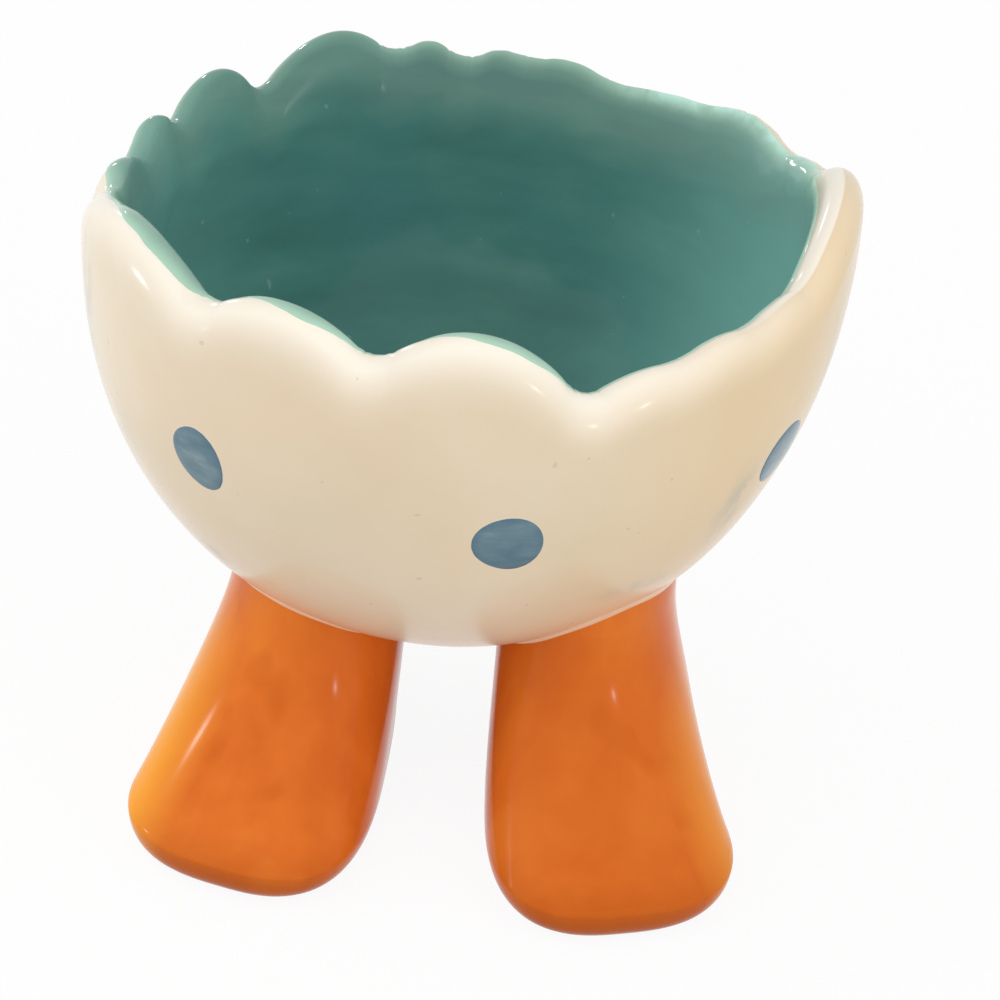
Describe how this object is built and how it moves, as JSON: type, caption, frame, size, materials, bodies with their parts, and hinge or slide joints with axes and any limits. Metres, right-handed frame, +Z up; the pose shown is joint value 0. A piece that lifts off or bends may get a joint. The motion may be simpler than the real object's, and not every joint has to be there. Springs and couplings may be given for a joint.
{
  "type": "egg cup",
  "caption": "Egg cup shaped as a half eggshell with a scalloped, hatched rim, teal inside and cream outside with painted spots, standing on stubby splayed duck-like legs.",
  "frame": {"origin": "on the ground under the middle of the bowl, which is the middle of the cup's box seen from above", "axes": "+Z up, the toes point towards -Y, +X to the right as the toes are faced"},
  "size_m": [0.0565, 0.056, 0.0504],
  "materials": {
    "cream_glaze": "gloss glaze over cream earthenware",
    "teal_glaze": "gloss teal glaze, brushed and pooled",
    "blue_underglaze": "brushed blue underglaze under a clear gloss",
    "orange_glaze": "gloss orange glaze in brushed coats",
    "pale_slip": "pale slip bead under thin gloss"
  },
  "bodies": {
    "root": {"egg_bowl": "cream_glaze", "inner_glaze": "teal_glaze", "painted_spot_1": "blue_underglaze", "painted_spot_2": "blue_underglaze", "painted_spot_3": "blue_underglaze", "painted_spot_4": "blue_underglaze", "painted_spot_5": "blue_underglaze", "painted_spot_6": "blue_underglaze", "painted_spot_7": "blue_underglaze", "left_leg": "orange_glaze", "right_leg": "orange_glaze", "left_luting_seam": "pale_slip", "right_luting_seam": "pale_slip"}
  },
  "joints": []
}
